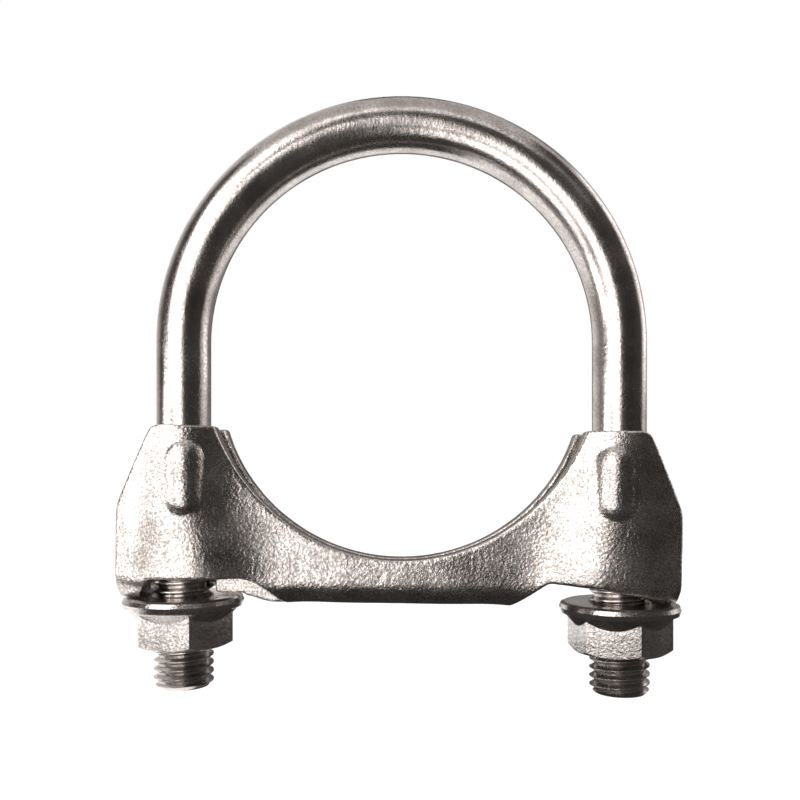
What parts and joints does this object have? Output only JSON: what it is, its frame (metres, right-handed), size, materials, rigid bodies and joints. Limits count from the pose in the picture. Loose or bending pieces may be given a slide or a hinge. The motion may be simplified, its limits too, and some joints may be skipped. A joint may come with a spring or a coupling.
{
  "type": "u-bolt",
  "caption": "Round-bend U-bolt clamp with threaded legs, a folded sheet saddle and hex flange nuts that draw the saddle up to grip a pipe.",
  "frame": {"origin": "centre of the held pipe, which is the centre of the saddle's arc in the pose as stored", "axes": "+Z from the nuts towards the top of the bow, +Y along the pipe, +X from nut_left to nut_right"},
  "size_m": [0.1306, 0.028, 0.1395],
  "materials": {
    "bolt_steel": "smooth drawn rod, thin bright zinc plating, rolled threads",
    "saddle_steel": "pressed sheet, bright zinc plating with a fine grainy speckle",
    "nut_steel": "cold-formed nut, bright zinc plating with a fine grain"
  },
  "bodies": {
    "u_bolt": {"u_bolt": "bolt_steel"},
    "saddle": {"saddle": "saddle_steel"},
    "nut_left": {"nut_left": "nut_steel"},
    "nut_right": {"nut_right": "nut_steel"}
  },
  "joints": [
    {"name": "saddle_slide", "type": "slide", "parent": "u_bolt", "child": "saddle", "axis": [0, 0, 1], "range_m": [-0.008, 0.0068]},
    {"name": "nut_left_turn", "type": "hinge", "parent": "saddle", "child": "nut_left", "pos_m": [-0.05125, 0, -0.0587], "axis": [0, 0, 1], "range_deg": [-1441, 1225]},
    {"name": "nut_right_turn", "type": "hinge", "parent": "saddle", "child": "nut_right", "pos_m": [0.05125, 0, -0.0604], "axis": [0, 0, 1], "range_deg": [-1441, 1225]}
  ],
  "couplings": [
    {"joint": "nut_left_turn", "follows": "saddle_slide", "rad_per_m": 3141.6},
    {"joint": "nut_right_turn", "follows": "saddle_slide", "rad_per_m": 3141.6}
  ]
}
